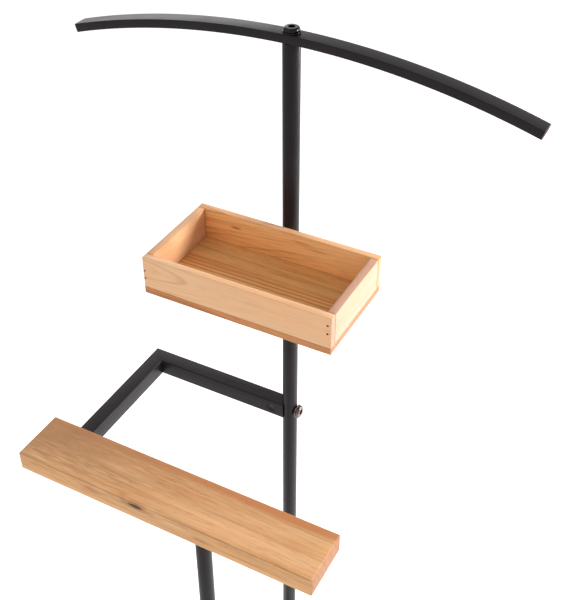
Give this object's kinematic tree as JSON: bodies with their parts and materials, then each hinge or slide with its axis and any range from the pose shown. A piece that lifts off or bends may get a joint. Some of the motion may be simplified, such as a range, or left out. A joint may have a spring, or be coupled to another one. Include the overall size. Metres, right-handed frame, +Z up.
{
  "type": "valet stand",
  "caption": "Free-standing clothes valet: arched hanger bar on a round post, wooden tray, wooden rail on a bent arm, and a tube base.",
  "frame": {"origin": "on the floor under the middle of the base", "axes": "+Z up, +X to the right, -Y to the front, where the wooden rail is"},
  "size_m": [0.448, 0.36, 1.0491],
  "materials": {
    "powder_coat": "charcoal powder coat, satin",
    "bright_steel": "zinc plated, bright",
    "dark_steel": "black zinc, glossy",
    "black_plastic": "moulded, matt",
    "tray_wood": "pine or fir, clear satin finish",
    "rail_wood": "solid wood, clear satin finish"
  },
  "bodies": {
    "stand": {"main_post": "powder_coat", "front_post": "powder_coat", "main_post_top_plug": "bright_steel", "main_post_foot_plug": "bright_steel", "front_post_foot_plug": "bright_steel", "tray_front_board": "tray_wood", "tray_back_board": "tray_wood", "tray_left_board": "tray_wood", "tray_right_board": "tray_wood", "tray_bottom_board": "tray_wood", "brad_front_left_1": "bright_steel", "brad_front_left_2": "bright_steel", "brad_front_right_1": "bright_steel", "brad_front_right_2": "bright_steel", "brad_back_left_1": "bright_steel", "brad_back_left_2": "bright_steel", "brad_back_right_1": "bright_steel", "brad_back_right_2": "bright_steel", "brad_bottom_left_1": "bright_steel", "brad_bottom_left_2": "bright_steel", "brad_bottom_right_1": "bright_steel", "brad_bottom_right_2": "bright_steel", "tray_saddle_upper": "black_plastic", "tray_saddle_lower": "black_plastic", "tray_screw_1": "bright_steel", "tray_screw_2": "bright_steel", "arm_side_tube": "powder_coat", "arm_front_tube": "powder_coat", "arm_end_cap": "black_plastic", "arm_front_cap": "black_plastic", "arm_barrel_nut": "dark_steel", "arm_washer": "bright_steel", "arm_bolt": "bright_steel", "rail": "rail_wood", "rail_arm_screw_1": "bright_steel", "rail_arm_screw_2": "bright_steel", "front_flange": "powder_coat", "flange_screw_1": "bright_steel", "flange_screw_2": "bright_steel", "base_spine": "powder_coat", "base_front_tube": "powder_coat", "base_rear_tube": "powder_coat", "base_cap_front_left": "black_plastic", "base_cap_front_right": "black_plastic", "base_cap_rear_left": "black_plastic", "base_cap_rear_right": "black_plastic", "foot_front_left": "black_plastic", "foot_front_right": "black_plastic", "foot_rear_left": "black_plastic", "foot_rear_right": "black_plastic", "main_post_foot_bolt": "dark_steel", "front_post_foot_bolt": "dark_steel"},
    "hanger": {"hanger_bar": "powder_coat", "bar_washer": "dark_steel", "bar_bolt": "dark_steel"}
  },
  "joints": [
    {"name": "hanger_swivel", "type": "hinge", "parent": "stand", "child": "hanger", "pos_m": [0, 0.092, 1.044], "axis": [0, 0, 1], "continuous": true}
  ]
}
